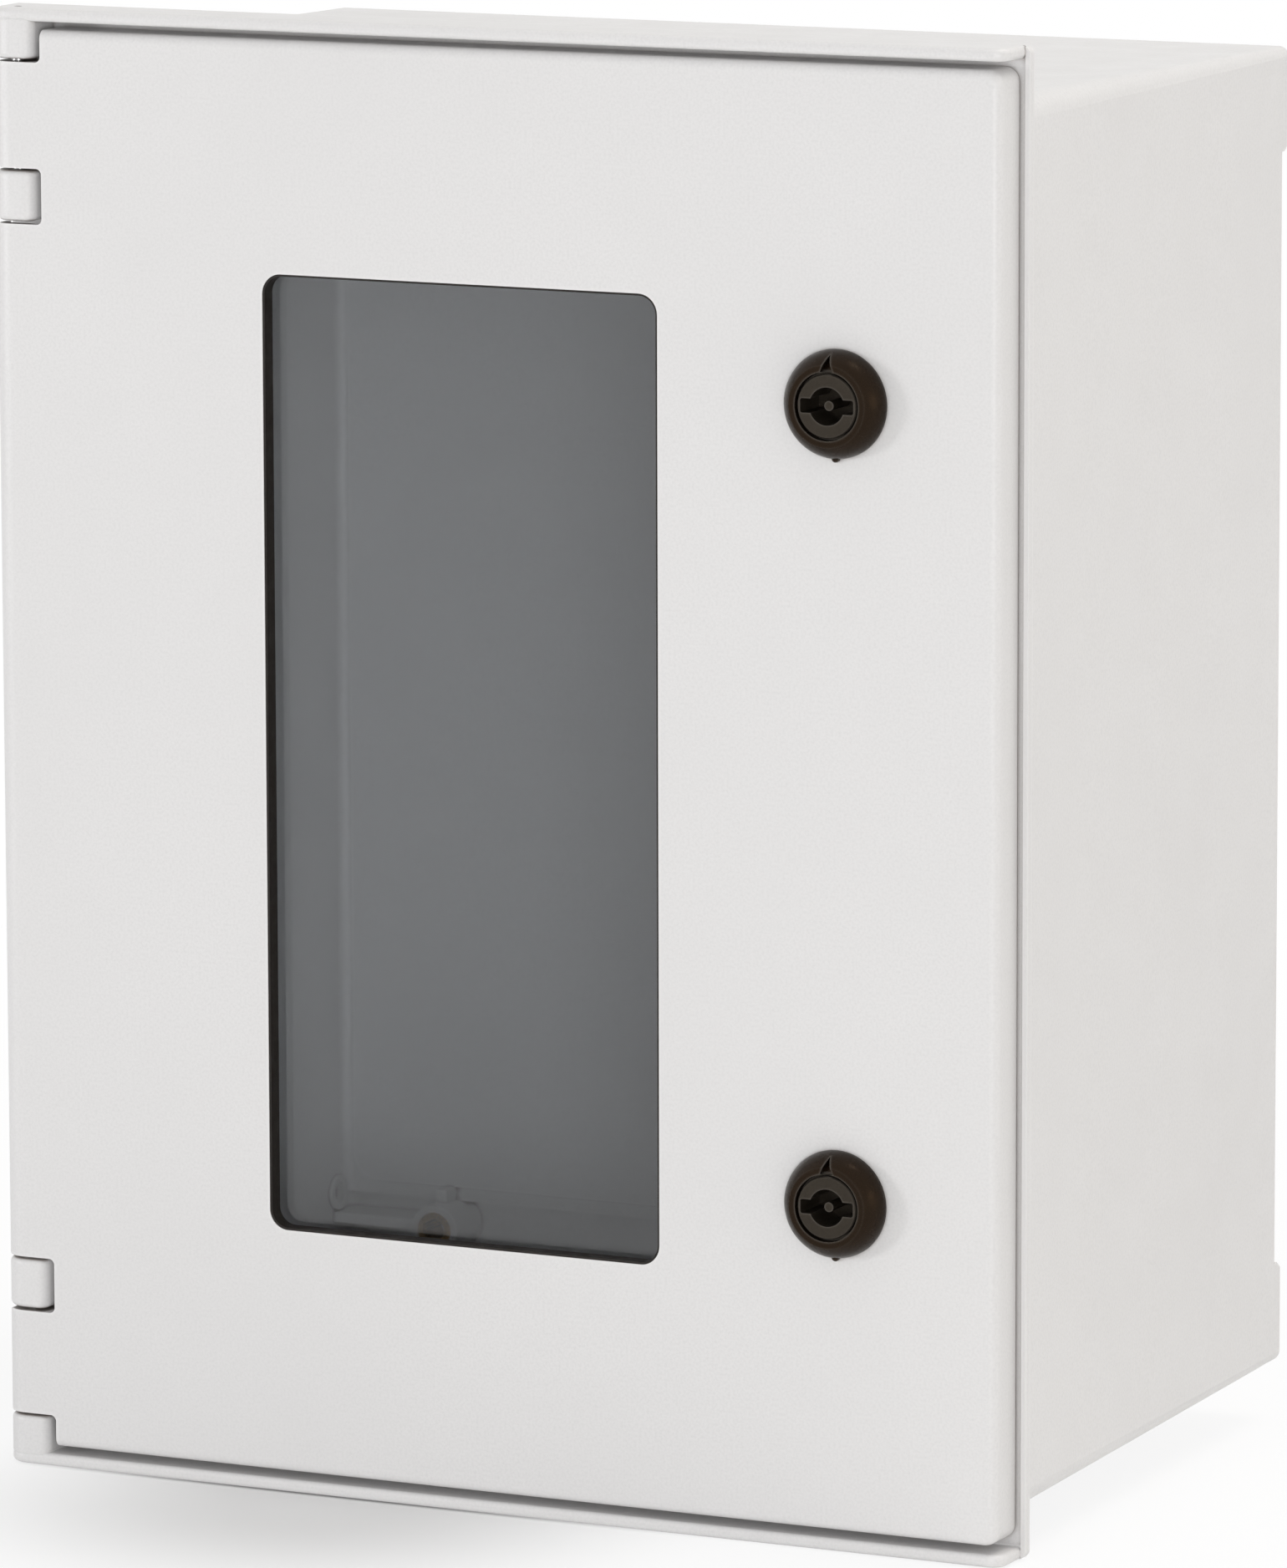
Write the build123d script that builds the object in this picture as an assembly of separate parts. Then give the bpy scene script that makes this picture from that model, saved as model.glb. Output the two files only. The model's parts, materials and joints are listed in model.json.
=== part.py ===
from build123d import *
import os
from math import cos, radians, tan

# Wall-mounting polyester enclosure with a windowed door and two double-bit locks.
# Millimetres. +X is right, +Y goes back to the wall, +Z is up. The origin is the centre of the
# four wall fixings, on the wall plane.

# Outside of the closed case, without the lock bezels
WIDTH = 300.0
HEIGHT = 400.0
DEPTH = 200.0

# Tub of the body
WALL = 3.5
DRAFT_ANGLE = 1.0
TUB_EDGE_RADIUS = 6.0
REAR_EDGE_RADIUS = 2.5
INNER_REAR_RADIUS = 3.0
FOOT_HEIGHT = 4.5
FOOT_BAND = 28.5
FOOT_SLOPE = 4.0
PANEL_HEIGHT = 1.5
PANEL_SIDE_INSET = 10.7
PANEL_END_INSET = 45.4
PANEL_CORNER_RADIUS = 8.0

# Front frame of the body
FLANGE_THICKNESS = 2.2
FLANGE_SIDE_OVERHANG = 0.4
FLANGE_END_OVERHANG = 13.0
LIP_THICKNESS = 3.4
LIP_EDGE_RADIUS = 1.4
LIP_CORNER_RADIUS = 4.5
RIM_THICKNESS = 1.3
RIM_HEIGHT = 0.8
RIM_CORNER_RADIUS = 2.4

# Hinge
KNUCKLE_RADIUS = 6.2
KNUCKLE_WIDTH = 13.2
KNUCKLE_EDGE_RADIUS = 3.0
KNUCKLE_END_RADIUS = 1.5
OUTER_KNUCKLE_HEIGHT = 10.3
INNER_KNUCKLE_HEIGHT = 13.7
KNUCKLE_SPAN = 30.0
KNUCKLE_GAP = 0.7
NOTCH_GAP = 2.8
NOTCH_CORNER_RADIUS = 1.6
NOTCH_FLARE_RADIUS = 2.0
BARREL_CLEARANCE = 0.7
BARREL_END_RADIUS = 1.8
PIN_RADIUS = 2.0
PIN_FIT = 0.02
PIN_RUNNING_FIT = 0.08
PIN_CHAMFER = 0.4
KNOCK_OUT_RADIUS = 1.1

# Door
DOOR_SKIN = 3.2
DOOR_RETURN = 3.0
DOOR_END_GAP = 2.2
DOOR_SIDE_GAP = 1.7
DOOR_BACK_GAP = 0.5
DOOR_CORNER_RADIUS = 4.0
DOOR_EDGE_RADIUS = 2.5

# Seal between the door and the collar round the mouth of the body
COLLAR_THICKNESS = 3.0
COLLAR_HEIGHT = 3.8
COLLAR_CORNER_RADIUS = 8.0
COLLAR_END_INSET = 21.0
GASKET_WIDTH = 8.0
GASKET_GAP = 0.3
SEAL_WALL = 2.5
SEAL_WALL_HEIGHT = 7.4
SEAL_RIB = 2.0
SEAL_RIB_HEIGHT = 4.0

# Window
WINDOW_WIDTH = 116.6
WINDOW_HEIGHT = 259.5
WINDOW_X = -9.0
WINDOW_Z = 2.3
WINDOW_CORNER_RADIUS = 5.5
LINER_THICKNESS = 0.6
LINER_SET_BACK = 0.3
WINDOW_SEAL_THICKNESS = 1.6
PANE_MARGIN = 9.0
PANE_THICKNESS = 3.0

# Clips that hold the pane
CLIP_WIDTH = 10.0
CLIP_GRIP = 4.0
CLIP_THICKNESS = 2.0
CLIP_CORNER_RADIUS = 2.0
CLIP_ROW_SPACING = 105.0
CLIP_BOSS_RADIUS = 4.0
CLIP_BOSS_GAP = 2.0
CLIP_SCREW_RADIUS = 1.5
CLIP_SCREW_FIT = 0.05
CLIP_SCREW_LENGTH = 6.0
CLIP_HEAD_RADIUS = 3.0
CLIP_HEAD_HEIGHT = 2.0

# Bosses with inserts for a mounting plate and for wall lugs, and side spots
BOSS_RADIUS = 7.2
BOSS_FACE_DEPTH = 20.0
BOSS_SIDE_INSET = 42.0
BOSS_END_INSET = 34.5
BOSS_RIB = 3.0
BOSS_RIB_DROP = 5.0
INSERT_RADIUS = 5.2
INSERT_FIT = 0.04
PLATE_INSERT_LENGTH = 11.0
WALL_INSERT_LENGTH = 7.5
INSERT_BORE_RADIUS = 3.35
INSERT_PROUD = 0.3
SPOT_RADIUS = 5.0
SPOT_HEIGHT = 1.2
SPOT_HOLE_RADIUS = 3.15
SPOT_HOLE_DEPTH = 3.0
SPOT_DEPTH = 13.0
SPOT_END_INSET = 41.5

# Locks
LOCK_SIDE_INSET = 49.0
LOCK_SPACING = 212.0
BEZEL_RADIUS = 14.4
BEZEL_TOP_RADIUS = 10.8
BEZEL_HEIGHT = 6.7
BEZEL_EDGE = 1.0
BEZEL_BULGE = 0.5
BARREL_RADIUS = 11.0
BARREL_FLATS = 20.0
BARREL_LENGTH = 13.5
BARREL_END_WALL = 3.0
BARREL_FIT = 0.15
ROTOR_RADIUS = 9.0
ROTOR_FIT = 0.08
ROTOR_RECESS = 0.3
ROTOR_FACE_RADIUS = 8.45
ROTOR_FACE_DEPTH = 2.0
ROTOR_CHAMFER = 0.3
JOURNAL_RADIUS = 6.0
SOCKET_RADIUS = 5.0
SOCKET_DEPTH = 12.0
SOCKET_PIN_RADIUS = 1.3
SOCKET_PIN_RECESS = 1.5
BIT_SPAN = 15.2
BIT_HEIGHT = 3.8
BIT_CORNER_RADIUS = 0.6
POINTER_WIDTH = 3.7
POINTER_TIP_RADIUS = 13.4
POINTER_DEPTH = 1.6
NIB_RADIUS = 1.1
NIB_REACH = 0.9
NIB_HEIGHT = 0.9
LOCK_SEAL_INNER_RADIUS = 11.4
LOCK_SEAL_OUTER_RADIUS = 13.3
LOCK_SEAL_THICKNESS = 1.0
LOCK_SEAL_FIT = 0.05
NUT_ACROSS_FLATS = 27.0
NUT_THICKNESS = 5.0
NUT_FIT = 0.05
TAIL_SQUARE = 8.0
TAIL_FIT = 0.05
CAM_THICKNESS = 3.0
CAM_WIDTH = 16.0
CAM_GRIP = 8.0
CAM_GAP = 1.5
CAM_LEAD_IN = 1.0
CAM_WASHER_RADIUS = 7.0
CAM_WASHER_THICKNESS = 1.2
CAM_SCREW_RADIUS = 2.0
CAM_SCREW_FIT = 0.05
CAM_SCREW_REACH = 9.0
CAM_HEAD_RADIUS = 4.2
CAM_HEAD_HEIGHT = 3.0
CAM_HEAD_EDGE = 0.8

# A cut that must break through a face runs this much past it
PAST = 1.0

# Depths, from the front of the door back to the wall
front_y = -DEPTH
hinge_y = front_y + KNUCKLE_RADIUS
flange_front_y = hinge_y + KNUCKLE_RADIUS + BARREL_CLEARANCE
flange_back_y = flange_front_y + FLANGE_THICKNESS
rim_front_y = flange_front_y - RIM_HEIGHT
collar_tip_y = flange_front_y - COLLAR_HEIGHT
door_back_y = flange_front_y - DOOR_BACK_GAP
skin_back_y = front_y + DOOR_SKIN
pane_front_y = skin_back_y + WINDOW_SEAL_THICKNESS
pane_back_y = pane_front_y + PANE_THICKNESS
clip_back_y = pane_back_y + CLIP_THICKNESS
rear_floor_y = -FOOT_HEIGHT - WALL
boss_face_y = -BOSS_FACE_DEPTH

# Half sizes of the body and the door, and the places of the hinge
half_width = WIDTH / 2
half_height = HEIGHT / 2
lip_inner_z = half_height - LIP_THICKNESS
tub_half_width = half_width - FLANGE_SIDE_OVERHANG
tub_half_height = half_height - FLANGE_END_OVERHANG
draft = tan(radians(DRAFT_ANGLE))
foot_edge_z = tub_half_height + flange_back_y * draft - FOOT_BAND
panel_half_width = half_width - PANEL_SIDE_INSET
panel_half_height = half_height - PANEL_END_INSET
hinge_x = -half_width + KNUCKLE_RADIUS
knuckle_right_x = -half_width + KNUCKLE_WIDTH
notch_x = knuckle_right_x + NOTCH_GAP
outer_knuckle_z = lip_inner_z - OUTER_KNUCKLE_HEIGHT
inner_knuckle_top_z = outer_knuckle_z - KNUCKLE_SPAN
inner_knuckle_low_z = inner_knuckle_top_z - INNER_KNUCKLE_HEIGHT
door_half_height = lip_inner_z - DOOR_END_GAP
rim_inner_x = half_width - RIM_THICKNESS
door_right_x = rim_inner_x - DOOR_SIDE_GAP

# The seal is centred on the collar, and its outer wall closes the hinge notches
collar_half_width = -notch_x - SEAL_WALL - (GASKET_WIDTH + COLLAR_THICKNESS) / 2
collar_half_height = half_height - COLLAR_END_INSET - COLLAR_THICKNESS
gasket_inner_width = collar_half_width + (COLLAR_THICKNESS - GASKET_WIDTH) / 2
gasket_inner_height = collar_half_height + (COLLAR_THICKNESS - GASKET_WIDTH) / 2
gasket_corner = COLLAR_CORNER_RADIUS + (COLLAR_THICKNESS - GASKET_WIDTH) / 2

# Pane, bosses and locks
pane_half_width = WINDOW_WIDTH / 2 + PANE_MARGIN
pane_half_height = WINDOW_HEIGHT / 2 + PANE_MARGIN
boss_x = half_width - BOSS_SIDE_INSET
boss_z = half_height - BOSS_END_INSET
lock_x = half_width - LOCK_SIDE_INSET
lock_z = LOCK_SPACING / 2
bezel_face_y = front_y - BEZEL_HEIGHT
barrel_end_y = front_y + BARREL_LENGTH
rotor_face_y = bezel_face_y + ROTOR_RECESS
rotor_seat_y = barrel_end_y - BARREL_END_WALL
cam_front_y = flange_back_y + CAM_GAP
cam_back_y = cam_front_y + CAM_THICKNESS
cam_length = collar_half_width - lock_x + CAM_GRIP


def block(x0, x1, y0, y1, z0, z1):
    """Box between two corners."""
    return Pos((x0 + x1) / 2, (y0 + y1) / 2, (z0 + z1) / 2) * Box(x1 - x0, y1 - y0, z1 - z0)


def rod_x(radius, x0, x1, y, z):
    """Round bar along X."""
    return Pos((x0 + x1) / 2, y, z) * Rot(0, 90, 0) * Cylinder(radius, abs(x1 - x0))


def rod_y(radius, y0, y1, x=0.0, z=0.0):
    """Round bar along Y."""
    return Pos(x, (y0 + y1) / 2, z) * Rot(90, 0, 0) * Cylinder(radius, y1 - y0)


def rod_z(radius, z0, z1, x, y):
    """Round bar along Z."""
    return Pos(x, y, (z0 + z1) / 2) * Cylinder(radius, z1 - z0)


def front_prism(face, y0, y1):
    """Outline drawn in the front view (X, Z), pushed from y0 back to y1."""
    return extrude(Plane.XZ.offset(-y0) * face, y1 - y0, dir=(0, 1, 0))


def plan_prism(face, z0, z1):
    """Outline drawn in plan (X, Y), pushed up from z0 to z1."""
    return extrude(Pos(0, 0, z0) * face, z1 - z0, dir=(0, 0, 1))


def ring_prism(inner_width, inner_height, thickness, corner, y0, y1):
    """Rectangular frame round the Y axis, given by the half sizes and corner of its inside."""
    outside = RectangleRounded(
        2 * (inner_width + thickness), 2 * (inner_height + thickness), corner + thickness
    )
    inside = RectangleRounded(2 * inner_width, 2 * inner_height, corner)
    return front_prism(outside - inside, y0, y1)


def quarter(centre_x, centre_y, start, end, radius):
    """Arc between two points, about a centre, through the middle of the turn."""
    middle = Vector(start[0] + end[0] - 2 * centre_x, start[1] + end[1] - 2 * centre_y)
    middle = middle.normalized() * radius
    return ThreePointArc(start, (centre_x + middle.X, centre_y + middle.Y), end)


def hinge_corner():
    """Rounded front left corner, about the hinge axis, in plan."""
    left = (hinge_x - KNUCKLE_RADIUS, hinge_y)
    return quarter(hinge_x, hinge_y, left, (hinge_x, front_y), KNUCKLE_RADIUS)


def plan_outline(points, arcs):
    """Closed plan face: the arcs given, joined by straight lines through the points."""
    return make_face([*arcs, *[Line(a, b) for a, b in zip(points, points[1:])]])


def four_corners(x, z):
    """The four places of a pattern that is even about both axes."""
    return [(side * x, end * z) for side in (-1, 1) for end in (-1, 1)]


# Body: tub with two feet across its back, front frame, hinge knuckles and bosses


def tapered_tub(inset, back_y, rear_radius):
    """Rounded tub, drawn in from the outside by an inset, narrowing to the back."""
    outline = RectangleRounded(
        2 * (tub_half_width - inset), 2 * (tub_half_height - inset), TUB_EDGE_RADIUS - inset / 2
    )
    mouth = Plane((0, flange_back_y, 0), x_dir=(1, 0, 0), z_dir=(0, 1, 0))
    tub = extrude(mouth * outline, back_y - flange_back_y, taper=DRAFT_ANGLE)
    return fillet(tub.faces().sort_by(Axis.Y)[-1].edges(), rear_radius)


def foot_bands(edge_z):
    """The space of the two feet, above and below a boundary that slopes at the back."""
    deep_y = rear_floor_y - WALL
    points = [
        (deep_y, edge_z),
        (-FOOT_HEIGHT, edge_z),
        (PAST, edge_z + FOOT_SLOPE),
        (PAST, half_height),
        (deep_y, half_height),
        (deep_y, edge_z),
    ]
    face = make_face(Polyline(*points))
    upper = extrude(Plane.YZ * face, half_width, both=True)
    return upper + mirror(upper, Plane.XY)


def lip(end):
    """Shelf that runs forward over the top (end 1) or the bottom (end -1) of the door."""
    z0, z1 = sorted((end * lip_inner_z, end * half_height))
    corner_start = (rim_inner_x, front_y + LIP_CORNER_RADIUS)
    corner_end = (rim_inner_x - LIP_CORNER_RADIUS, front_y)
    corner = quarter(
        corner_end[0], corner_start[1], corner_start, corner_end, LIP_CORNER_RADIUS
    )
    back = [
        (-half_width, hinge_y),
        (-half_width, flange_back_y),
        (rim_inner_x, flange_back_y),
        corner_start,
    ]
    face = plan_outline(back, [corner, Line(corner_end, (hinge_x, front_y)), hinge_corner()])
    shelf = plan_prism(face, z0, z1)
    flat_faces = shelf.faces().filter_by(Axis.Z)
    edges = [e for e in flat_faces.edges() if e.center().Y < flange_back_y - PAST / 2]
    return fillet(edges, LIP_EDGE_RADIUS)


def knuckle(z0, z1):
    """Hinge knuckle: round about the pin on its outer side, square back to the flange."""
    corner_start = (knuckle_right_x, front_y + KNUCKLE_EDGE_RADIUS)
    corner_end = (knuckle_right_x - KNUCKLE_EDGE_RADIUS, front_y)
    corner = quarter(
        corner_end[0], corner_start[1], corner_start, corner_end, KNUCKLE_EDGE_RADIUS
    )
    back = [
        (hinge_x - KNUCKLE_RADIUS, hinge_y),
        (hinge_x - KNUCKLE_RADIUS, flange_front_y),
        (knuckle_right_x, flange_front_y),
        corner_start,
    ]
    face = plan_outline(back, [corner, Line(corner_end, (hinge_x, front_y)), hinge_corner()])
    solid = plan_prism(face, z0, z1)
    ends = solid.faces().filter_by(Axis.Z).edges()
    edges = [e for e in ends if e.center().Y < flange_front_y - PAST / 2]
    return fillet(edges, KNUCKLE_END_RADIUS)


def front_frame():
    """Flange with its lips, right rim, seal collar and hinge knuckles."""
    outline = Rectangle(WIDTH, HEIGHT)
    outline = fillet(outline.vertices().sort_by(Axis.X)[:2], LIP_EDGE_RADIUS)
    outline = fillet(outline.vertices().sort_by(Axis.X)[-2:], RIM_CORNER_RADIUS)
    frame = front_prism(outline, flange_front_y, flange_back_y)
    frame += ring_prism(
        collar_half_width,
        collar_half_height,
        COLLAR_THICKNESS,
        COLLAR_CORNER_RADIUS,
        collar_tip_y,
        flange_back_y,
    )
    rim = outline & Pos(rim_inner_x + RIM_THICKNESS / 2, 0) * Rectangle(RIM_THICKNESS, HEIGHT)
    frame += front_prism(rim, rim_front_y, flange_back_y)
    for end in (-1, 1):
        frame += lip(end)
        into_lip_z = lip_inner_z + KNUCKLE_END_RADIUS
        frame += knuckle(*sorted((end * outer_knuckle_z, end * into_lip_z)))
        frame += knuckle(*sorted((end * inner_knuckle_low_z, end * inner_knuckle_top_z)))
    mouth = RectangleRounded(
        2 * collar_half_width, 2 * collar_half_height, COLLAR_CORNER_RADIUS
    )
    return frame - front_prism(mouth, collar_tip_y - PAST, flange_back_y + PAST)


def inner_wall_x(y):
    """Half width of the inside of the tub at a depth."""
    return tub_half_width - WALL - (y - flange_back_y) * draft


def plate_bosses():
    """Bosses for the mounting plate, each tied to the side and to the middle by a rib."""
    rib_face_y = boss_face_y + BOSS_RIB_DROP
    rib_end_x = inner_wall_x(rib_face_y) + WALL / 2
    bosses = []
    for x, z in four_corners(boss_x, boss_z):
        side, end = x / boss_x, z / boss_z
        low_x, high_x = sorted((x, side * rib_end_x))
        low_z, high_z = sorted((z, end * panel_half_height))
        half_rib = BOSS_RIB / 2
        bosses.append(rod_y(BOSS_RADIUS, boss_face_y, -WALL, x, z))
        bosses.append(block(low_x, high_x, rib_face_y, -WALL, z - half_rib, z + half_rib))
        bosses.append(block(x - half_rib, x + half_rib, rib_face_y, -WALL, low_z, high_z))
    return bosses


def side_spots():
    """Raised rings inside the side walls, and the blind holes in them."""
    rings, holes = [], []
    wall_x = inner_wall_x(-SPOT_DEPTH)
    face_x = wall_x - SPOT_HEIGHT
    for side, end in four_corners(1, 1):
        z = end * (half_height - SPOT_END_INSET)
        hole_end_x = face_x + SPOT_HOLE_DEPTH
        rings.append(rod_x(SPOT_RADIUS, side * face_x, side * (wall_x + WALL / 2), -SPOT_DEPTH, z))
        holes.append(rod_x(SPOT_HOLE_RADIUS, side * face_x, side * hole_end_x, -SPOT_DEPTH, z))
    return rings, holes


def enclosure_body():
    """The whole body moulding."""
    feet = tapered_tub(0, 0, REAR_EDGE_RADIUS) & foot_bands(foot_edge_z)
    body = tapered_tub(0, -FOOT_HEIGHT, REAR_EDGE_RADIUS) + feet
    pockets = tapered_tub(WALL, -WALL, INNER_REAR_RADIUS) & foot_bands(foot_edge_z + WALL)
    body -= tapered_tub(WALL, rear_floor_y, INNER_REAR_RADIUS) + pockets
    panel = RectangleRounded(2 * panel_half_width, 2 * panel_half_height, PANEL_CORNER_RADIUS)
    body += front_prism(panel, rear_floor_y - PANEL_HEIGHT, rear_floor_y + WALL / 2)
    body += front_frame()
    rings, holes = side_spots()
    for boss in plate_bosses() + rings:
        body += boss
    for x, z in four_corners(boss_x, boss_z):
        seat_radius = INSERT_RADIUS + INSERT_FIT
        body -= rod_y(seat_radius, boss_face_y, boss_face_y + PLATE_INSERT_LENGTH, x, z)
        body -= rod_y(seat_radius, -WALL_INSERT_LENGTH, 0, x, z)
    for end in (-1, 1):
        z0, z1 = sorted((end * (inner_knuckle_low_z - PAST), end * lip_inner_z))
        body -= rod_z(PIN_RADIUS + PIN_FIT, z0, z1, hinge_x, hinge_y)
        z0, z1 = sorted((end * (lip_inner_z - PAST), end * (half_height + PAST)))
        body -= rod_z(KNOCK_OUT_RADIUS, z0, z1, hinge_x, hinge_y)
    for hole in holes:
        body -= hole
    return body


def inserts(y0, y1):
    """Four brass threaded inserts, one in each boss, between two depths."""
    rings = []
    for x, z in four_corners(boss_x, boss_z):
        bore = rod_y(INSERT_BORE_RADIUS, y0 - PAST, y1 + PAST, x, z)
        rings.append(rod_y(INSERT_RADIUS, y0, y1, x, z) - bore)
    return Compound(children=rings)


def hinge_pin(end):
    """Pin through the inner knuckle and the door barrel into the outer knuckle."""
    z0, z1 = sorted((end * inner_knuckle_low_z, end * (lip_inner_z - PIN_CHAMFER)))
    pin = rod_z(PIN_RADIUS, z0, z1, hinge_x, hinge_y)
    return chamfer(pin.edges().filter_by(GeomType.CIRCLE), PIN_CHAMFER)


# Door: moulded pan with a rolled hinge edge, seal channel, window and lock holes


def door_pan():
    """Front skin with a return on three sides and the rolled edge on the hinge side."""
    inner_radius = KNUCKLE_RADIUS - DOOR_SKIN
    roll_end = (hinge_x - inner_radius, hinge_y)
    roll_start = (hinge_x, hinge_y - inner_radius)
    roll = quarter(hinge_x, hinge_y, roll_end, roll_start, inner_radius)
    straight = [
        (hinge_x, front_y),
        (door_right_x, front_y),
        (door_right_x, door_back_y),
        (notch_x, door_back_y),
        (notch_x, skin_back_y),
        roll_start,
    ]
    tip = Line(roll_end, (hinge_x - KNUCKLE_RADIUS, hinge_y))
    pan = plan_prism(
        plan_outline(straight, [roll, tip, hinge_corner()]), -door_half_height, door_half_height
    )
    outline_width = WIDTH + door_right_x
    outline = RectangleRounded(outline_width, 2 * door_half_height, DOOR_CORNER_RADIUS)
    outline = Pos(door_right_x - outline_width / 2, 0) * outline
    pan &= front_prism(outline, front_y - PAST, flange_front_y)
    front = pan.faces().sort_by(Axis.Y)[0].edges()
    pan = fillet([e for e in front if e.center().X > hinge_x + PAST], DOOR_EDGE_RADIUS)
    inner_z = door_half_height - DOOR_RETURN
    inner_x = door_right_x - DOOR_RETURN
    return pan - block(notch_x - PAST, inner_x, skin_back_y, door_back_y + PAST, -inner_z, inner_z)


def notch_flare(z, way):
    """Corner taken off the hinge edge beside a notch, at a height, going up (1) or down (-1)."""
    radius = NOTCH_FLARE_RADIUS
    square = Pos((radius - PAST) / 2 - half_width, z + way * radius / 2) * Rectangle(
        radius + PAST, radius
    )
    return square - Pos(radius - half_width, z + way * radius) * Circle(radius)


def hinge_notch(z0, z1):
    """Cut-out in the door's hinge edge round one body knuckle, with rounded corners."""
    width = 2 * (notch_x + half_width)
    face = Pos(-half_width, (z0 + z1) / 2) * RectangleRounded(width, z1 - z0, NOTCH_CORNER_RADIUS)
    face += notch_flare(z0, -1) + notch_flare(z1, 1)
    return front_prism(face, front_y - PAST, hinge_y + DOOR_SKIN)


def door_barrel(end):
    """Round barrel on the door between two body knuckles, tied to the seal wall."""
    z0, z1 = sorted((end * (inner_knuckle_top_z + KNUCKLE_GAP), end * (outer_knuckle_z - KNUCKLE_GAP)))
    barrel = rod_z(KNUCKLE_RADIUS, z0, z1, hinge_x, hinge_y)
    barrel = fillet(barrel.edges().filter_by(GeomType.CIRCLE), BARREL_END_RADIUS)
    return barrel + block(hinge_x, notch_x + SEAL_WALL / 2, front_y + DOOR_SKIN / 2, hinge_y, z0, z1)


def clip_places():
    """Screw places of the pane clips, with the direction from each to the pane."""
    reach = CLIP_BOSS_RADIUS + CLIP_BOSS_GAP
    places = []
    for side in (-1, 1):
        x = WINDOW_X + side * (pane_half_width + reach)
        places += [(x, WINDOW_Z + step * CLIP_ROW_SPACING, -side, 0) for step in (-1, 0, 1)]
        places.append((WINDOW_X, WINDOW_Z + side * (pane_half_height + reach), 0, -side))
    return places


def lock_hole_outline(clearance):
    """Round outline with two flats, for the lock barrel and its hole."""
    flats = Rectangle(BARREL_FLATS + 2 * clearance, 2 * (BARREL_RADIUS + clearance))
    return Circle(BARREL_RADIUS + clearance) & flats


def lock_places():
    """Centre heights of the upper and the lower lock."""
    return {"upper": lock_z, "lower": -lock_z}


def door():
    """The whole door moulding."""
    panel = door_pan()
    seal_y = skin_back_y - DOOR_SKIN / 2
    panel += ring_prism(
        gasket_inner_width + GASKET_WIDTH,
        gasket_inner_height + GASKET_WIDTH,
        SEAL_WALL,
        gasket_corner + GASKET_WIDTH,
        seal_y,
        skin_back_y + SEAL_WALL_HEIGHT,
    )
    panel += ring_prism(
        gasket_inner_width - SEAL_RIB,
        gasket_inner_height - SEAL_RIB,
        SEAL_RIB,
        gasket_corner - SEAL_RIB / 2,
        seal_y,
        skin_back_y + SEAL_RIB_HEIGHT,
    )
    for end in (-1, 1):
        outer_z = outer_knuckle_z - KNUCKLE_GAP
        panel -= hinge_notch(*sorted((end * outer_z, end * (half_height + LIP_THICKNESS))))
        inner_z = (inner_knuckle_low_z - KNUCKLE_GAP, inner_knuckle_top_z + KNUCKLE_GAP)
        panel -= hinge_notch(*sorted(end * z for z in inner_z))
        panel += door_barrel(end)
    for x, z, _, _ in clip_places():
        panel += rod_y(CLIP_BOSS_RADIUS, seal_y, pane_back_y, x, z)
        hole_y = clip_back_y - CLIP_SCREW_LENGTH - CLIP_SCREW_FIT
        panel -= rod_y(CLIP_SCREW_RADIUS + CLIP_SCREW_FIT, hole_y, pane_back_y + PAST, x, z)
    window = RectangleRounded(WINDOW_WIDTH, WINDOW_HEIGHT, WINDOW_CORNER_RADIUS)
    panel -= front_prism(Pos(WINDOW_X, WINDOW_Z) * window, front_y - PAST, skin_back_y + PAST)
    for z in lock_places().values():
        hole = Pos(lock_x, z) * lock_hole_outline(BARREL_FIT)
        panel -= front_prism(hole, front_y - PAST, skin_back_y + PAST)
    for end in (-1, 1):
        z0, z1 = sorted((end * inner_knuckle_top_z, end * outer_knuckle_z))
        panel -= rod_z(PIN_RADIUS + PIN_RUNNING_FIT, z0, z1, hinge_x, hinge_y)
    return panel


def door_gasket():
    """Foamed seal in the door's channel, just clear of the collar."""
    back_y = collar_tip_y - GASKET_GAP
    return ring_prism(
        gasket_inner_width, gasket_inner_height, GASKET_WIDTH, gasket_corner, skin_back_y, back_y
    )


def window_seal():
    """Edge seal: a thin liner in the cut-out and a flat band behind the door's skin."""
    clear_width = WINDOW_WIDTH / 2 - LINER_THICKNESS
    clear_height = WINDOW_HEIGHT / 2 - LINER_THICKNESS
    corner = WINDOW_CORNER_RADIUS - LINER_THICKNESS
    liner = ring_prism(
        clear_width, clear_height, LINER_THICKNESS, corner, front_y + LINER_SET_BACK, skin_back_y
    )
    band_width = LINER_THICKNESS + PANE_MARGIN
    band = ring_prism(clear_width, clear_height, band_width, corner, skin_back_y, pane_front_y)
    return Pos(WINDOW_X, 0, WINDOW_Z) * (liner + band)


def window_pane():
    """Clear sheet behind the seal."""
    corner = WINDOW_CORNER_RADIUS + PANE_MARGIN
    sheet = RectangleRounded(2 * pane_half_width, 2 * pane_half_height, corner)
    return front_prism(Pos(WINDOW_X, WINDOW_Z) * sheet, pane_front_y, pane_back_y)


def pane_clip(x, z, toward_x, toward_z):
    """Flat clip from a boss on the door over the edge of the pane."""
    outer = CLIP_BOSS_RADIUS
    inner = CLIP_BOSS_RADIUS + CLIP_BOSS_GAP + CLIP_GRIP
    centre = (inner - outer) / 2
    size = (outer + inner, CLIP_WIDTH) if toward_x else (CLIP_WIDTH, outer + inner)
    plate = Pos(x + toward_x * centre, z + toward_z * centre) * RectangleRounded(
        *size, CLIP_CORNER_RADIUS
    )
    clip = front_prism(plate, pane_back_y, clip_back_y)
    hole = rod_y(CLIP_SCREW_RADIUS + CLIP_SCREW_FIT, pane_back_y - PAST, clip_back_y + PAST, x, z)
    return clip - hole


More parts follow.
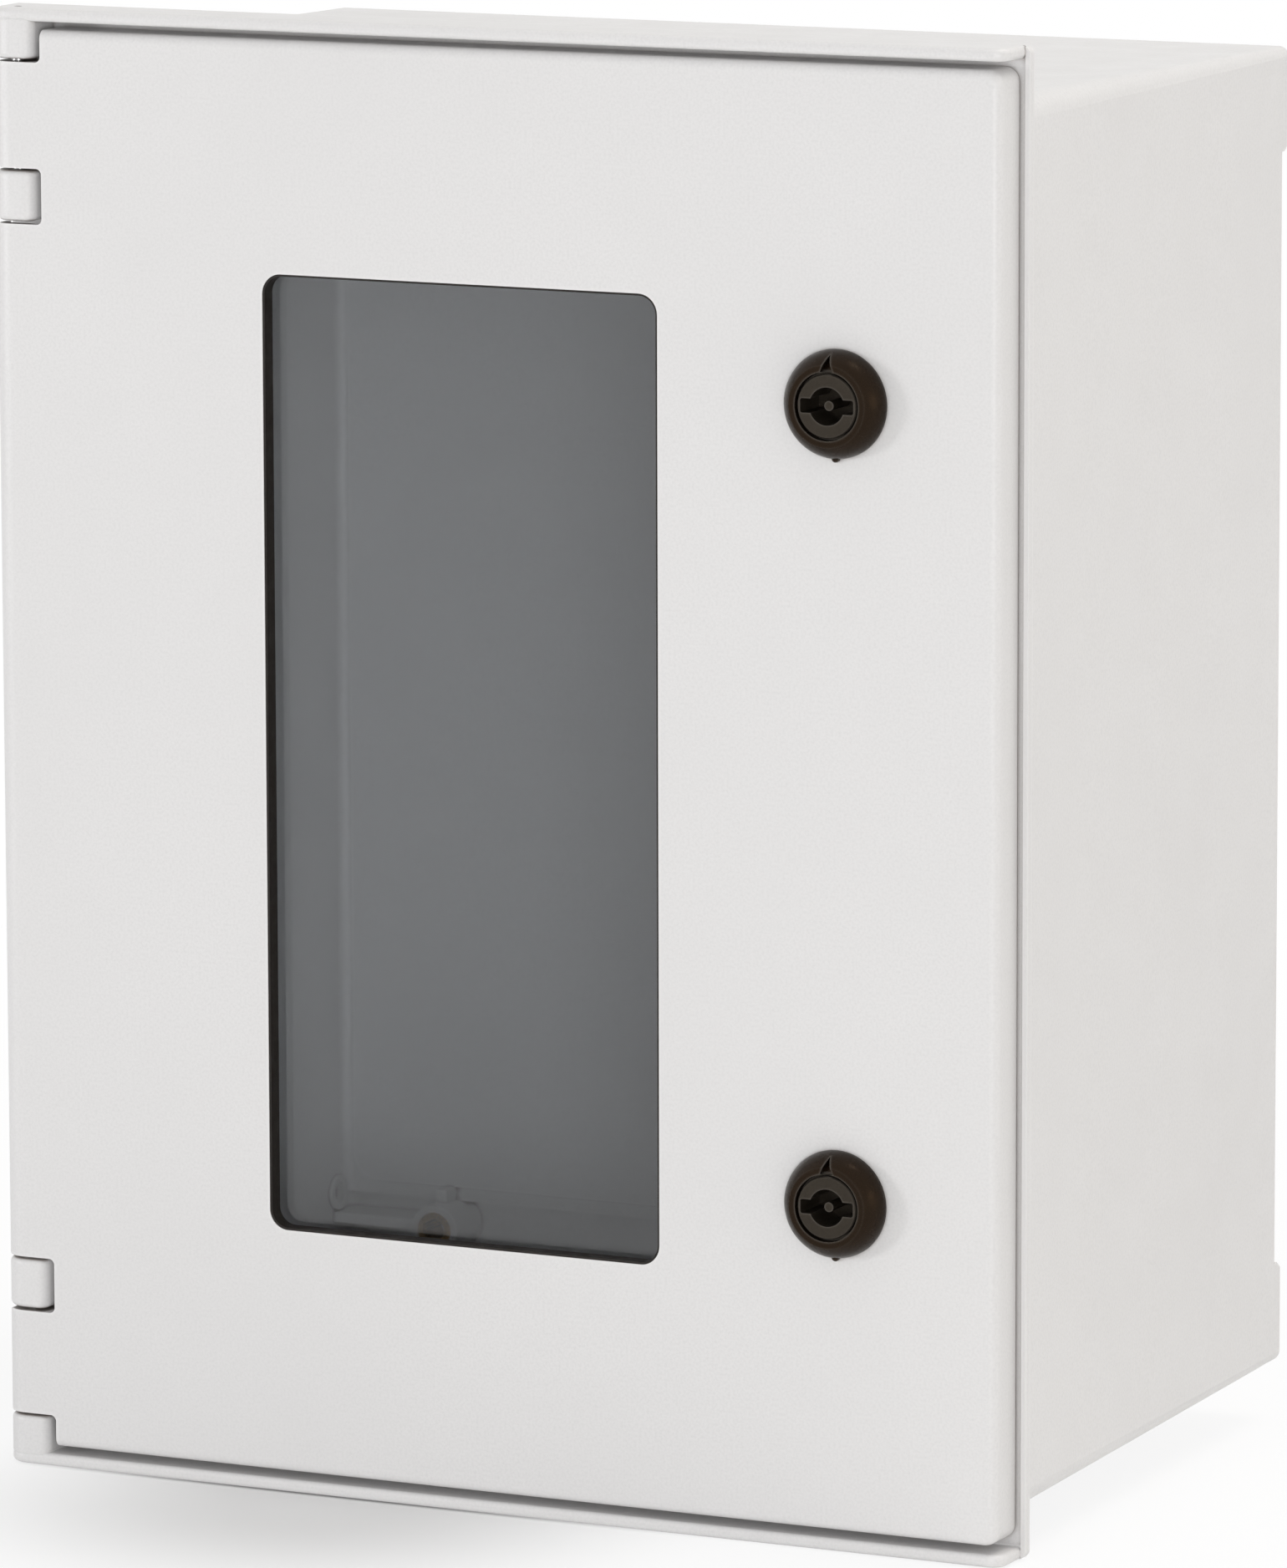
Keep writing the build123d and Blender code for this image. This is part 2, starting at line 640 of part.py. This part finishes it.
def pane_clip_screw(x, z):
    """Pan-head screw through a clip."""
    head = rod_y(CLIP_HEAD_RADIUS, clip_back_y, clip_back_y + CLIP_HEAD_HEIGHT, x, z)
    head = fillet(head.edges().sort_by(Axis.Y)[-1], CLIP_HEAD_HEIGHT / 2)
    return head + rod_y(CLIP_SCREW_RADIUS, clip_back_y - CLIP_SCREW_LENGTH, clip_back_y, x, z)


# Locks: modelled round the Y axis, then set at their places on the door


def bezel_solid(inset):
    """Domed bezel as a full turn, drawn in from its outside by an inset."""
    base = (BEZEL_RADIUS - inset, front_y - BEZEL_EDGE)
    top = (BEZEL_TOP_RADIUS - inset, bezel_face_y + inset)
    bulge = ((base[0] + top[0]) / 2 + BEZEL_BULGE, (base[1] + top[1]) / 2 - BEZEL_BULGE)
    straight = [top, (0, top[1]), (0, front_y), (base[0], front_y), base]
    return revolve(plan_outline(straight, [ThreePointArc(base, bulge, top)]), Axis.Y)


def lock_housing():
    """Bezel with its pointer groove and nib, and the flatted barrel behind it."""
    pointer = Polyline(
        (-POINTER_WIDTH / 2, ROTOR_RADIUS),
        (POINTER_WIDTH / 2, ROTOR_RADIUS),
        (0, POINTER_TIP_RADIUS),
        (-POINTER_WIDTH / 2, ROTOR_RADIUS),
    )
    groove = front_prism(make_face(pointer), bezel_face_y - PAST, front_y) - bezel_solid(POINTER_DEPTH)
    nib_z = NIB_RADIUS - NIB_REACH - BEZEL_RADIUS
    nib = rod_y(NIB_RADIUS, front_y - NIB_HEIGHT, front_y, 0, nib_z)
    seal_inner = LOCK_SEAL_INNER_RADIUS - LOCK_SEAL_FIT
    seal_outer = LOCK_SEAL_OUTER_RADIUS + LOCK_SEAL_FIT
    seal_y = front_y - LOCK_SEAL_THICKNESS
    seal_groove = rod_y(seal_outer, seal_y, front_y) - rod_y(seal_inner, seal_y, front_y)
    housing = bezel_solid(0) + nib - groove - seal_groove
    housing += front_prism(lock_hole_outline(0), front_y, barrel_end_y)
    housing -= rod_y(ROTOR_RADIUS + ROTOR_FIT, bezel_face_y - PAST, rotor_seat_y)
    return housing - rod_y(JOURNAL_RADIUS + ROTOR_FIT, rotor_seat_y - PAST, barrel_end_y + PAST)


def lock_rotor():
    """Turning insert with a double-bit key socket, a journal and a square tail."""
    seat_y = rotor_seat_y - ROTOR_FIT
    face = rod_y(ROTOR_FACE_RADIUS, rotor_face_y, seat_y)
    face = chamfer(face.edges().sort_by(Axis.Y)[0], ROTOR_CHAMFER)
    rotor = face + rod_y(ROTOR_RADIUS, rotor_face_y + ROTOR_FACE_DEPTH, seat_y)
    socket_end_y = rotor_face_y + SOCKET_DEPTH
    bits = RectangleRounded(BIT_SPAN, BIT_HEIGHT, BIT_CORNER_RADIUS)
    rotor -= rod_y(SOCKET_RADIUS, rotor_face_y - PAST, socket_end_y)
    rotor -= front_prism(bits, rotor_face_y - PAST, socket_end_y)
    rotor += rod_y(SOCKET_PIN_RADIUS, rotor_face_y + SOCKET_PIN_RECESS, socket_end_y + PAST)
    rotor += rod_y(JOURNAL_RADIUS, seat_y, cam_front_y)
    tail = TAIL_SQUARE / 2
    rotor += block(-tail, tail, cam_front_y, cam_back_y - TAIL_FIT, -tail, tail)
    hole_y = cam_back_y - CAM_SCREW_REACH - CAM_SCREW_FIT
    return rotor - rod_y(CAM_SCREW_RADIUS + CAM_SCREW_FIT, hole_y, cam_back_y)


def lock_seal():
    """Flat ring in the groove under the bezel."""
    seal_y = front_y - LOCK_SEAL_THICKNESS
    ring = rod_y(LOCK_SEAL_OUTER_RADIUS, seal_y, front_y)
    return ring - rod_y(LOCK_SEAL_INNER_RADIUS, seal_y - PAST, front_y + PAST)


def lock_nut():
    """Hexagon nut that draws the bezel against the door."""
    corner_radius = NUT_ACROSS_FLATS / 2 / cos(radians(30))
    nut = front_prism(RegularPolygon(corner_radius, 6), skin_back_y, skin_back_y + NUT_THICKNESS)
    return nut - rod_y(BARREL_RADIUS + NUT_FIT, skin_back_y - PAST, skin_back_y + NUT_THICKNESS + PAST)


def lock_cam():
    """Flat cam on the square tail, pointing up while the lock is open."""
    outline = Circle(CAM_WIDTH / 2) + Pos(0, cam_length / 2) * Rectangle(CAM_WIDTH, cam_length)
    square = TAIL_SQUARE + 2 * TAIL_FIT
    cam = front_prism(outline - Rectangle(square, square), cam_front_y, cam_back_y)
    tip = cam.faces().sort_by(Axis.Z)[-1]
    return chamfer(tip.edges().sort_by(Axis.Y)[0], CAM_LEAD_IN)


def cam_washer():
    """Plain washer behind the cam."""
    back_y = cam_back_y + CAM_WASHER_THICKNESS
    hole = rod_y(CAM_SCREW_RADIUS + CAM_SCREW_FIT, cam_back_y - PAST, back_y + PAST)
    return rod_y(CAM_WASHER_RADIUS, cam_back_y, back_y) - hole


def cam_screw():
    """Screw that holds the cam on the tail."""
    head_y = cam_back_y + CAM_WASHER_THICKNESS
    head = rod_y(CAM_HEAD_RADIUS, head_y, head_y + CAM_HEAD_HEIGHT)
    head = fillet(head.edges().sort_by(Axis.Y)[-1], CAM_HEAD_EDGE)
    return head + rod_y(CAM_SCREW_RADIUS, cam_back_y - CAM_SCREW_REACH, head_y)


# Every piece by its node's name

pieces = {
    "enclosure_body": enclosure_body(),
    "plate_inserts": inserts(boss_face_y - INSERT_PROUD, boss_face_y + PLATE_INSERT_LENGTH),
    "wall_inserts": inserts(-WALL_INSERT_LENGTH, 0),
    "hinge_pin_upper": hinge_pin(1),
    "hinge_pin_lower": hinge_pin(-1),
    "door": door(),
    "door_gasket": door_gasket(),
    "window_seal": window_seal(),
    "window_pane": window_pane(),
    "pane_clips": Compound(children=[pane_clip(*place) for place in clip_places()]),
    "pane_clip_screws": Compound(children=[pane_clip_screw(x, z) for x, z, _, _ in clip_places()]),
}

lock_pieces = {
    "lock_housing": lock_housing(),
    "lock_rotor": lock_rotor(),
    "lock_seal": lock_seal(),
    "lock_nut": lock_nut(),
    "lock_cam": lock_cam(),
    "cam_washer": cam_washer(),
    "cam_screw": cam_screw(),
}

for place, height in lock_places().items():
    for name, piece in lock_pieces.items():
        pieces[f"{place}_{name}"] = Pos(lock_x, 0, height) * piece

os.makedirs("parts", exist_ok=True)
for name, piece in pieces.items():
    export_step(piece, f"parts/{name}.step")
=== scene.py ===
import json
import math

import bpy
from mathutils import Matrix, Vector


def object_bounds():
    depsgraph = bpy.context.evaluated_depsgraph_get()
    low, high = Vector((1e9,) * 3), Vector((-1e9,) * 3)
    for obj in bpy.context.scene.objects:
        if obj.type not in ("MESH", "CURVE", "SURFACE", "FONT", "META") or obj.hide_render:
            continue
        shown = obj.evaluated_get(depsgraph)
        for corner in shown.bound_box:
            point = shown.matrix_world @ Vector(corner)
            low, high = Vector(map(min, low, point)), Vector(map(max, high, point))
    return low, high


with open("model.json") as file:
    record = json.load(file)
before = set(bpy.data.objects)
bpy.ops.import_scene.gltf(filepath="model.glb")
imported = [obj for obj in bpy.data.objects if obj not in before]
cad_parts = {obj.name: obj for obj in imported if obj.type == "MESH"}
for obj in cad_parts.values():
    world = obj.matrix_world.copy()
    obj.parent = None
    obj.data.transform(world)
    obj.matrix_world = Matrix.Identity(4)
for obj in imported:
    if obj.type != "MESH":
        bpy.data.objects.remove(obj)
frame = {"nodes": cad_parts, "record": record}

# Box of the solids, before anything is added
cad_low, cad_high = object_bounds()

# Camera, as the photograph was taken: degrees, metres, millimetres of lens on a 36 mm frame
CAMERA_YAW = 25.638
CAMERA_PITCH = 9.383
CAMERA_ROLL = -0.159
CAMERA_PLACE = (1.22561, -2.65992, 0.45293)
CAMERA_LENS = 240.85
CAMERA_SENSOR = 36.0
CAMERA_FAR = 100.0

# Floor, lengths in metres
FLOOR_SIZE = 60.0
FLOOR_GAP = 0.0004
FLOOR_COLOUR = (0.95, 0.95, 0.95)

# Floor's glow for the eye: none in a placed patch in front on the left, which paints the object's shadow
# there and lets its real shadow show, PALE_GLOW around it, full farther off
PAINTED_SHADOW_PLACE = (-0.05, -0.212)
PAINTED_SHADOW_REACH = (0.015, 0.125)
PALE_REACH = (0.2, 0.9)
PALE_GLOW = 0.87

# World's strength as light, and as seen
WORLD_LIGHT = 0.55
WORLD_SEEN = 1.0
WHITE = (1.0, 1.0, 1.0)

# Painted highlight on edges and painted shade in seams and gaps, and lock edges paler as wear and as
# highlight: reaches in metres, heights above the floor where the painted shade in seams starts, rays
# traced
EDGE_HIGHLIGHT_REACH = 0.001
SEAM_SHADE_REACH = 0.002
WEAR_AND_HIGHLIGHT_REACH = 0.0006
SEAM_SHADE_START = (0.003, 0.005)
EDGE_SAMPLES = 4

# Finishes: refraction of the plastics, and how many grains lie across one patch of gloss
PLASTIC_IOR = 1.5
GRAINS_PER_PATCH = 8

# Numbers of a mix node's colour sockets, whose names are shared with its other sockets
MIX_FIRST = 6
MIX_SECOND = 7
MIX_RESULT = 2


class Tree:
    """Node tree of one material, with short calls for the nodes used here."""

    def __init__(self, name):
        self.material = bpy.data.materials.new(name)
        self.material.use_nodes = True
        self.nodes = self.material.node_tree.nodes
        self.links = self.material.node_tree.links
        self.shader = self.nodes["Principled BSDF"]
        self.output = self.nodes["Material Output"]

    def add(self, kind, **settings):
        """New node of a kind, with its settings by name."""
        node = self.nodes.new(kind)
        for key, value in settings.items():
            setattr(node, key, value)
        return node

    def place(self):
        """Place on the object, in metres."""
        return self.add("ShaderNodeTexCoord").outputs["Object"]

    def height(self):
        """Height on the object, in metres."""
        node = self.add("ShaderNodeSeparateXYZ")
        self.links.new(self.place(), node.inputs["Vector"])
        return node.outputs["Z"]

    def noise(self, scale, detail=2.0, rough=0.5, stretch=None):
        """Noise between 0 and 1, with a scale in features per metre."""
        node = self.add("ShaderNodeTexNoise")
        node.inputs["Scale"].default_value = scale
        node.inputs["Detail"].default_value = detail
        node.inputs["Roughness"].default_value = rough
        place = self.place()
        if stretch:
            mapping = self.add("ShaderNodeMapping")
            mapping.inputs["Scale"].default_value = stretch
            self.links.new(place, mapping.inputs["Vector"])
            place = mapping.outputs["Vector"]
        self.links.new(place, node.inputs["Vector"])
        return node.outputs["Fac"]

    def openness(self, reach, inside=False):
        """From 0 in a crevice, or on a ridge when looking inside, to 1 where nothing is within reach."""
        node = self.add("ShaderNodeAmbientOcclusion", samples=EDGE_SAMPLES, inside=inside)
        node.inputs["Distance"].default_value = reach
        return node.outputs["AO"]

    def spread(self, value, low=0.0, high=1.0, start=0.3, end=0.7):
        """A value taken from its start and end to a low and high, and kept between them."""
        node = self.add("ShaderNodeMapRange")
        for key, number in zip(("From Min", "From Max", "To Min", "To Max"), (start, end, low, high)):
            node.inputs[key].default_value = number
        self.links.new(value, node.inputs["Value"])
        return node.outputs["Result"]

    def mix(self, factor, first, second):
        """Colour between two, by a factor."""
        node = self.add("ShaderNodeMix", data_type="RGBA")
        self.links.new(factor, node.inputs["Factor"])
        for socket, colour in ((node.inputs[MIX_FIRST], first), (node.inputs[MIX_SECOND], second)):
            if isinstance(colour, tuple):
                socket.default_value = (*colour, 1.0)
            else:
                self.links.new(colour, socket)
        return node.outputs[MIX_RESULT]

    def bump(self, height, depth, below=None):
        """Surface relief of a depth in metres, on top of another relief if one is given."""
        node = self.add("ShaderNodeBump")
        node.inputs["Strength"].default_value = 1.0
        node.inputs["Distance"].default_value = depth
        self.links.new(height, node.inputs["Height"])
        if below:
            self.links.new(below, node.inputs["Normal"])
        return node.outputs["Normal"]

    def set(self, **values):
        """Values or sockets for the shader, by its socket names with spaces as underscores."""
        for key, value in values.items():
            socket = self.shader.inputs[key.replace("_", " ")]
            if isinstance(value, bpy.types.NodeSocket):
                self.links.new(value, socket)
            else:
                socket.default_value = value

    def show(self, shader):
        """Sends a shader to the surface."""
        self.links.new(shader, self.output.inputs["Surface"])


def joined(tree, operation, first, second):
    """Two values joined by an operation, such as a sum, in a material's or the world's tree."""
    node = tree.nodes.new("ShaderNodeMath")
    node.operation = operation
    tree.links.new(first, node.inputs[0])
    tree.links.new(second, node.inputs[1])
    return node.outputs["Value"]


def blended(tree, factor, first, second):
    """Shader between two, by a factor, in a material's or the world's tree."""
    node = tree.nodes.new("ShaderNodeMixShader")
    tree.links.new(factor, node.inputs["Fac"])
    tree.links.new(first, node.inputs[1])
    tree.links.new(second, node.inputs[2])
    return node.outputs["Shader"]


def seen_mix(tree, lit, seen):
    """Shader that shows one thing to light and another to the eye, mirrors and glass."""
    path = tree.nodes.new("ShaderNodeLightPath").outputs
    mirrored = joined(tree, "MAXIMUM", path["Is Glossy Ray"], path["Is Transmission Ray"])
    looking = joined(tree, "MAXIMUM", path["Is Camera Ray"], mirrored)
    direct = joined(tree, "GREATER_THAN", looking, path["Diffuse Depth"])
    return blended(tree, direct, lit, seen)


def shade(colour, factor):
    """A colour made lighter or darker."""
    return tuple(channel * factor for channel in colour)


def polyester():
    """Light grey pressed polyester: satin, faintly mottled, with painted highlight on edges and painted
    shade in seams and gaps.
    """
    tree = Tree("polyester")
    base = (0.742, 0.734, 0.733)
    dull = shade(base, 0.985)
    bright = shade(base, 1.012)
    speck = shade(base, 0.94)
    edge_highlight = shade(base, 1.07)
    seam_shade = (0.25, 0.215, 0.195)
    satin = (0.34, 0.46)
    dimple_depth = 0.00005
    skin_depth = 0.000012

    mottled = tree.spread(tree.noise(scale=11.0, detail=3.0))
    colour = tree.mix(mottled, dull, bright)
    clean = tree.spread(tree.noise(scale=1300.0, detail=1.0), start=0.2, end=0.62)
    colour = tree.mix(clean, speck, colour)
    # Painted highlight: convex edges made paler
    inner = tree.spread(tree.openness(EDGE_HIGHLIGHT_REACH, inside=True), start=0.5, end=0.95)
    colour = tree.mix(inner, edge_highlight, colour)

    # Painted shade in seams, gaps and inner corners, left off where the body stands on the floor
    start, end = (cad_low.z + height for height in SEAM_SHADE_START)
    at_floor = tree.spread(tree.height(), low=1.0, high=0.0, start=start, end=end)
    clear = joined(tree, "MAXIMUM", at_floor, tree.openness(SEAM_SHADE_REACH))
    colour = tree.mix(tree.spread(clear, start=0.35, end=0.65), seam_shade, colour)

    rough = tree.spread(tree.noise(scale=70.0, detail=3.0), *satin)
    dimples = tree.bump(tree.noise(scale=240.0, detail=2.0), dimple_depth)
    skin = tree.bump(tree.noise(scale=1500.0, detail=1.0), skin_depth, below=dimples)
    tree.set(Base_Color=colour, Roughness=rough, Normal=skin, IOR=PLASTIC_IOR)
    return tree.material


def clear_sheet():
    """Clear polycarbonate, which lets lamps shine through to the inside."""
    tree = Tree("clear_sheet")
    tint = (0.615, 0.628, 0.638, 1.0)
    polish = (0.015, 0.045)
    wave_depth = 0.0002
    rough = tree.spread(tree.noise(scale=45.0, detail=3.0), *polish)
    waves = tree.bump(tree.noise(scale=9.0, detail=1.0), wave_depth)
    tree.set(Base_Color=tint, Roughness=rough, Normal=waves, IOR=PLASTIC_IOR, Transmission_Weight=1.0)
    lamp_ray = tree.add("ShaderNodeLightPath").outputs["Is Shadow Ray"]
    through = tree.add("ShaderNodeBsdfTransparent")
    through.inputs["Color"].default_value = tint
    tree.show(blended(tree, lamp_ray, tree.shader.outputs["BSDF"], through.outputs["BSDF"]))
    return tree.material


def soft_black(name, base, grain, depth, rough, gloss=0.5, gloss_tint=WHITE, wear_and_highlight=None):
    """Dark rubber, foam or plastic: a grain in features per metre, and, if a colour is given, edges
    painted to it, partly as wear and partly as highlight.
    """
    tree = Tree(name)
    dark = shade(base, 0.8)
    light = shade(base, 1.25)
    fine = tree.noise(grain, detail=3.0)
    colour = tree.mix(tree.spread(fine), dark, light)
    # Edges painted paler: partly wear, partly painted highlight
    if wear_and_highlight:
        inner = tree.spread(tree.openness(WEAR_AND_HIGHLIGHT_REACH, inside=True), start=0.3, end=0.9)
        colour = tree.mix(inner, wear_and_highlight, colour)
    patches = tree.spread(tree.noise(grain / GRAINS_PER_PATCH), *rough)
    tree.set(Base_Color=colour, Roughness=patches, Normal=tree.bump(fine, depth))
    tree.set(Specular_IOR_Level=gloss, Specular_Tint=(*gloss_tint, 1.0))
    return tree.material


def black_rubber():
    """Matt black rubber of the window and lock seals."""
    return soft_black(
        "black_rubber",
        base=(0.016, 0.0125, 0.0105),
        grain=1600.0,
        depth=0.00002,
        rough=(0.5, 0.7),
        gloss=0.3,
    )


def foam_seal():
    """Dark grey foam of the door gasket, with open pores."""
    return soft_black(
        "foam_seal",
        base=(0.075, 0.076, 0.08),
        grain=900.0,
        depth=0.0002,
        rough=(0.8, 0.95),
    )


def black_plastic():
    """Brownish black plastic of the lock housings, with pale edges painted partly as wear and partly as
    highlight.
    """
    return soft_black(
        "black_plastic",
        base=(0.0065, 0.0037, 0.002),
        grain=2200.0,
        depth=0.00002,
        rough=(0.2, 0.34),
        gloss=0.23,
        gloss_tint=(1.0, 0.7, 0.48),
        wear_and_highlight=(0.085, 0.078, 0.07),
    )


def rotor_plastic():
    """The same plastic on the lock rotors, greyer and duller, with paler edges painted partly as wear
    where keys rub it and partly as highlight.
    """
    return soft_black(
        "rotor_plastic",
        base=(0.0145, 0.0115, 0.0085),
        grain=1800.0,
        depth=0.00003,
        rough=(0.3, 0.42),
        gloss=0.36,
        gloss_tint=(1.0, 0.86, 0.7),
        wear_and_highlight=(0.07, 0.064, 0.058),
    )


def metal(name, base, rough, depth, stretch=None):
    """Metal with fine marks of a depth in metres, drawn out one way if a stretch is given."""
    tree = Tree(name)
    dull = shade(base, 0.9)
    bright = shade(base, 1.06)
    marks = tree.noise(scale=900.0, detail=3.0, rough=0.6, stretch=stretch)
    clouds = tree.spread(tree.noise(scale=180.0, detail=3.0))
    colour = tree.mix(clouds, dull, bright)
    brushed = tree.spread(marks, *rough)
    tree.set(Base_Color=colour, Metallic=1.0, Roughness=brushed, Normal=tree.bump(marks, depth))
    return tree.material


def zinc_steel():
    """Zinc-plated steel of the clips, screws, nuts and cams."""
    return metal("zinc_steel", base=(0.66, 0.66, 0.64), rough=(0.28, 0.5), depth=0.00001)


def pin_steel():
    """Stainless hinge pins, drawn along their length."""
    along = (1.0, 1.0, 0.05)
    return metal("pin_steel", base=(0.68, 0.68, 0.68), rough=(0.18, 0.32), depth=0.00001, stretch=along)


def brass():
    """Turned brass inserts, a little tarnished."""
    along = (1.0, 0.1, 1.0)
    return metal("brass", base=(0.52, 0.34, 0.14), rough=(0.2, 0.4), depth=0.00002, stretch=along)


def dress_nodes():
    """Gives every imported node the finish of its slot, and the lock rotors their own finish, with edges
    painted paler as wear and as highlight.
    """
    makers = (
        polyester,
        clear_sheet,
        black_rubber,
        foam_seal,
        black_plastic,
        rotor_plastic,
        zinc_steel,
        pin_steel,
        brass,
    )
    finishes = {maker.__name__: maker() for maker in makers}
    slots = {row["node"]: row["material_slot"] for row in frame["record"]["subparts"]}
    for name, node in frame["nodes"].items():
        finish = "rotor_plastic" if name.endswith("lock_rotor") else slots[name]
        node.data.materials.clear()
        node.data.materials.append(finishes[finish])


def make_world():
    """Soft even light, seen as white."""
    world = bpy.data.worlds.new("studio")
    bpy.context.scene.world = world
    world.use_nodes = True
    tree = world.node_tree
    lit = tree.nodes["Background"]
    seen = tree.nodes.new("ShaderNodeBackground")
    for sky, strength in ((lit, WORLD_LIGHT), (seen, WORLD_SEEN)):
        sky.inputs["Color"].default_value = (*WHITE, 1.0)
        sky.inputs["Strength"].default_value = strength
    mixed = seen_mix(tree, lit.outputs["Background"], seen.outputs["Background"])
    tree.links.new(mixed, tree.nodes["World Output"].inputs["Surface"])


def make_floor():
    """Pale floor that reads as white, with a painted shadow patch where the object's own shadow shows."""
    bpy.ops.mesh.primitive_plane_add(size=FLOOR_SIZE, location=(0, 0, cad_low.z - FLOOR_GAP))
    floor = bpy.context.object
    floor.name = "floor"
    tree = Tree("floor")
    clouds = tree.spread(tree.noise(scale=0.7))
    colour = tree.mix(clouds, shade(FLOOR_COLOUR, 0.995), FLOOR_COLOUR)
    tree.set(Base_Color=colour, Roughness=0.9, Specular_IOR_Level=0.0)

    # Painted shadow: the glow is left out round a placed spot, so the floor is darker there
    away = tree.add("ShaderNodeVectorMath", operation="DISTANCE")
    tree.links.new(tree.place(), away.inputs[0])
    away.inputs[1].default_value = (*PAINTED_SHADOW_PLACE, 0.0)
    distance = away.outputs["Value"]
    shadow_patch_glow = tree.spread(distance, 0.0, PALE_GLOW, *PAINTED_SHADOW_REACH)
    shadow_patch_glow.node.interpolation_type = "SMOOTHSTEP"
    far = tree.spread(distance, 0.0, 1.0 - PALE_GLOW, *PALE_REACH)

    glow = tree.add("ShaderNodeEmission")
    glow.inputs["Strength"].default_value = 1.0
    plain = tree.shader.outputs["BSDF"]
    pale = blended(tree, joined(tree, "ADD", shadow_patch_glow, far), plain, glow.outputs["Emission"])
    tree.show(seen_mix(tree, plain, pale))
    floor.data.materials.append(tree.material)


def soft_box(name, place, aim, size, watts, colour=WHITE):
    """Rectangular soft lamp at a place, turned to a point, all in metres."""
    lamp = bpy.data.lights.new(name, "AREA")
    lamp.shape = "RECTANGLE"
    lamp.size, lamp.size_y = size
    lamp.energy = watts
    lamp.color = colour
    holder = bpy.data.objects.new(name, lamp)
    bpy.context.scene.collection.objects.link(holder)
    holder.location = place
    holder.rotation_mode = "QUATERNION"
    holder.rotation_quaternion = (Vector(aim) - Vector(place)).to_track_quat("-Z", "Y")


def make_lights():
    """Soft lamps: a high one behind, one on the left, one in front and a warm one on the right."""
    middle = (0.0, -0.1, 0.0)
    door = (0.0, -0.15, 0.0)
    pale_warm = (1.0, 0.97, 0.92)
    warm = (1.0, 0.84, 0.62)
    soft_box("key_lamp", place=(0.75, 0.3, 2.0), aim=middle, size=(1.0, 1.0), watts=18.5, colour=pale_warm)
    soft_box("left_lamp", place=(-1.9, -1.6, 0.2), aim=door, size=(0.35, 0.25), watts=11.0)
    soft_box("front_lamp", place=(1.15, -2.4, 0.16), aim=middle, size=(0.6, 0.4), watts=15.5)
    soft_box("right_lamp", place=(2.3, -0.6, 0.3), aim=middle, size=(0.8, 0.8), watts=2.4, colour=warm)


def make_camera():
    """Camera at the photograph's place and angle."""
    yaw, pitch, roll = (math.radians(angle) for angle in (CAMERA_YAW, CAMERA_PITCH, CAMERA_ROLL))
    level = math.cos(pitch)
    ahead = Vector((-math.sin(yaw) * level, math.cos(yaw) * level, -math.sin(pitch)))
    right = Matrix.Rotation(-roll, 3, ahead) @ Vector((math.cos(yaw), math.sin(yaw), 0.0))
    up = right.cross(ahead)
    lens = bpy.data.cameras.new("camera")
    lens.lens = CAMERA_LENS
    lens.sensor_width = CAMERA_SENSOR
    lens.clip_end = CAMERA_FAR
    camera = bpy.data.objects.new("camera", lens)
    bpy.context.scene.collection.objects.link(camera)
    basis = Matrix((right, up, -ahead)).transposed()
    camera.matrix_world = Matrix.Translation(CAMERA_PLACE) @ basis.to_4x4()
    bpy.context.scene.camera = camera


bpy.context.scene.view_settings.view_transform = "Standard"
dress_nodes()
make_world()
make_floor()
make_lights()
make_camera()
